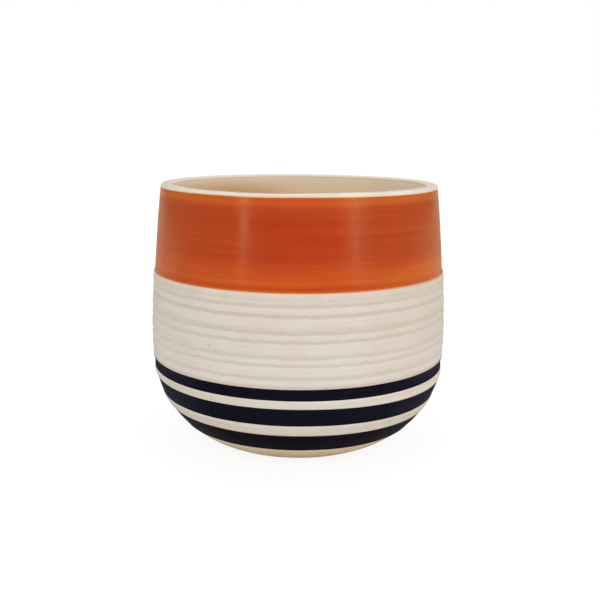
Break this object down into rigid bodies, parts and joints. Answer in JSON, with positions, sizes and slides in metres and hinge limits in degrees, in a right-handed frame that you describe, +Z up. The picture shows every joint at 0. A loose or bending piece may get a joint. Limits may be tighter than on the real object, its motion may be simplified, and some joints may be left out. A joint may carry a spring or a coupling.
{
  "type": "cachepot",
  "caption": "Round glazed earthenware cover pot with an orange band, ribbed white middle, navy stripes and a bare clay foot, that hides a plastic grow pot.",
  "frame": {"origin": "middle of the foot, on the surface that the pot stands on", "axes": "+Z up along the axis that the pot is round about; the picture looks along +Y, with +X to the right"},
  "size_m": [0.15, 0.15, 0.1313],
  "materials": {
    "buff_clay": "bare fired buff clay, matt and fine grained",
    "white_slip": "matt warm white slip with fine turning lines",
    "orange_glaze": "glossy translucent orange glaze with brushed streaks",
    "navy_colour": "matt navy ceramic colour, crisp at its edges",
    "white_glaze": "satin white glaze over the lip",
    "inside_glaze": "satin tan glaze inside"
  },
  "bodies": {
    "root": {"clay_body": "buff_clay", "white_slip": "white_slip", "orange_glaze_band": "orange_glaze", "upper_navy_stripe": "navy_colour", "middle_navy_stripe": "navy_colour", "lower_navy_stripe": "navy_colour", "lip_glaze": "white_glaze", "liner_glaze": "inside_glaze"}
  },
  "joints": []
}
